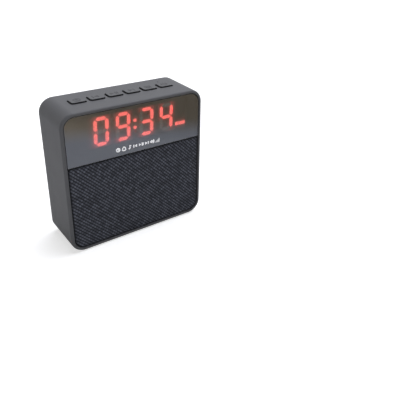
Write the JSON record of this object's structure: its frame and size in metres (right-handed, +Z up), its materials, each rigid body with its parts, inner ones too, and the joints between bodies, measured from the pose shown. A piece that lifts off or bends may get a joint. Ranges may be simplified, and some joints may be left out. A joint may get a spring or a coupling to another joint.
{
  "type": "alarm clock speaker",
  "caption": "Upright alarm clock speaker: dark soft-touch case, smoked lens over lit red digits, twill grille, a row of keys on top and a rear plate with sockets and a slide switch.",
  "frame": {"origin": "under the middle of the case, on the surface that the feet stand on", "axes": "+X to the right seen from the front, +Y from the lens to the rear, +Z up"},
  "size_m": [0.106, 0.038, 0.104],
  "materials": {
    "case": "soft-touch dark grey, ribbed at the rear",
    "key": "soft-touch dark grey with raised signs",
    "black_plastic": "moulded black",
    "lens": "polished smoked acrylic",
    "cloth": "dark grey twill",
    "rubber": "matt black",
    "steel": "plated",
    "white_plastic": "moulded white",
    "knob": "moulded grey",
    "board": "green solder mask",
    "segments": "lit red",
    "ferrite": "ground ferrite",
    "paper": "pressed paper",
    "copper": "enamelled wire",
    "spider": "resin-stiffened cloth",
    "cell": "blue shrink wrap",
    "lead": "red jacket",
    "light": "clear water-white"
  },
  "bodies": {
    "case": {"case_shell": "case", "port_plate": "case", "foot_left": "rubber", "foot_right": "rubber", "front_baffle": "black_plastic", "display_lens": "lens", "grille_frame": "black_plastic", "grille_cloth": "cloth", "main_board": "board", "board_screw_left": "steel", "board_screw_right": "steel", "usb_shell": "steel", "usb_tongue": "white_plastic", "charge_shell": "steel", "charge_tongue": "black_plastic", "audio_jack": "black_plastic", "card_slot": "steel", "slide_switch": "steel", "status_light": "light", "microphone": "steel", "segment_plate": "segments", "display_block": "black_plastic", "display_board": "board", "display_header": "black_plastic", "speaker_gasket": "rubber", "speaker_basket": "steel", "speaker_top_plate": "steel", "speaker_magnet": "ferrite", "speaker_yoke": "steel", "speaker_surround": "rubber", "speaker_spider": "spider", "speaker_lead": "lead", "battery_cell": "cell", "battery_lead": "lead", "baffle_screw_1": "steel", "baffle_screw_2": "steel", "baffle_screw_3": "steel", "baffle_screw_4": "steel", "tact_switch_1": "black_plastic", "tact_switch_2": "black_plastic", "tact_switch_3": "black_plastic", "tact_switch_4": "black_plastic", "tact_switch_5": "black_plastic", "tact_switch_6": "black_plastic"},
    "key_body_1": {"key_1": "key", "plunger_1": "white_plastic"},
    "key_body_2": {"key_2": "key", "plunger_2": "white_plastic"},
    "key_body_3": {"key_3": "key", "plunger_3": "white_plastic"},
    "key_body_4": {"key_4": "key", "plunger_4": "white_plastic"},
    "key_body_5": {"key_5": "key", "plunger_5": "white_plastic"},
    "key_body_6": {"key_6": "key", "plunger_6": "white_plastic"},
    "switch_slider": {"switch_knob": "knob"},
    "cone_assembly": {"speaker_cone": "paper", "dust_cap": "paper", "voice_coil": "copper"}
  },
  "joints": [
    {"name": "key_press_1", "type": "slide", "parent": "case", "child": "key_body_1", "axis": [0, 0, -1], "range_m": [0, 0.0005], "stiffness_N_per_m": 600, "springref_m": -0.001},
    {"name": "key_press_2", "type": "slide", "parent": "case", "child": "key_body_2", "axis": [0, 0, -1], "range_m": [0, 0.0005], "stiffness_N_per_m": 600, "springref_m": -0.001},
    {"name": "key_press_3", "type": "slide", "parent": "case", "child": "key_body_3", "axis": [0, 0, -1], "range_m": [0, 0.0005], "stiffness_N_per_m": 600, "springref_m": -0.001},
    {"name": "key_press_4", "type": "slide", "parent": "case", "child": "key_body_4", "axis": [0, 0, -1], "range_m": [0, 0.0005], "stiffness_N_per_m": 600, "springref_m": -0.001},
    {"name": "key_press_5", "type": "slide", "parent": "case", "child": "key_body_5", "axis": [0, 0, -1], "range_m": [0, 0.0005], "stiffness_N_per_m": 600, "springref_m": -0.001},
    {"name": "key_press_6", "type": "slide", "parent": "case", "child": "key_body_6", "axis": [0, 0, -1], "range_m": [0, 0.0005], "stiffness_N_per_m": 600, "springref_m": -0.001},
    {"name": "switch_slide", "type": "slide", "parent": "case", "child": "switch_slider", "axis": [1, 0, 0], "range_m": [0, 0.002]},
    {"name": "cone_stroke", "type": "slide", "parent": "case", "child": "cone_assembly", "axis": [0, -1, 0], "range_m": [-0.001, 0.001], "stiffness_N_per_m": 1200, "deforming": ["speaker_surround", "speaker_spider"]}
  ]
}
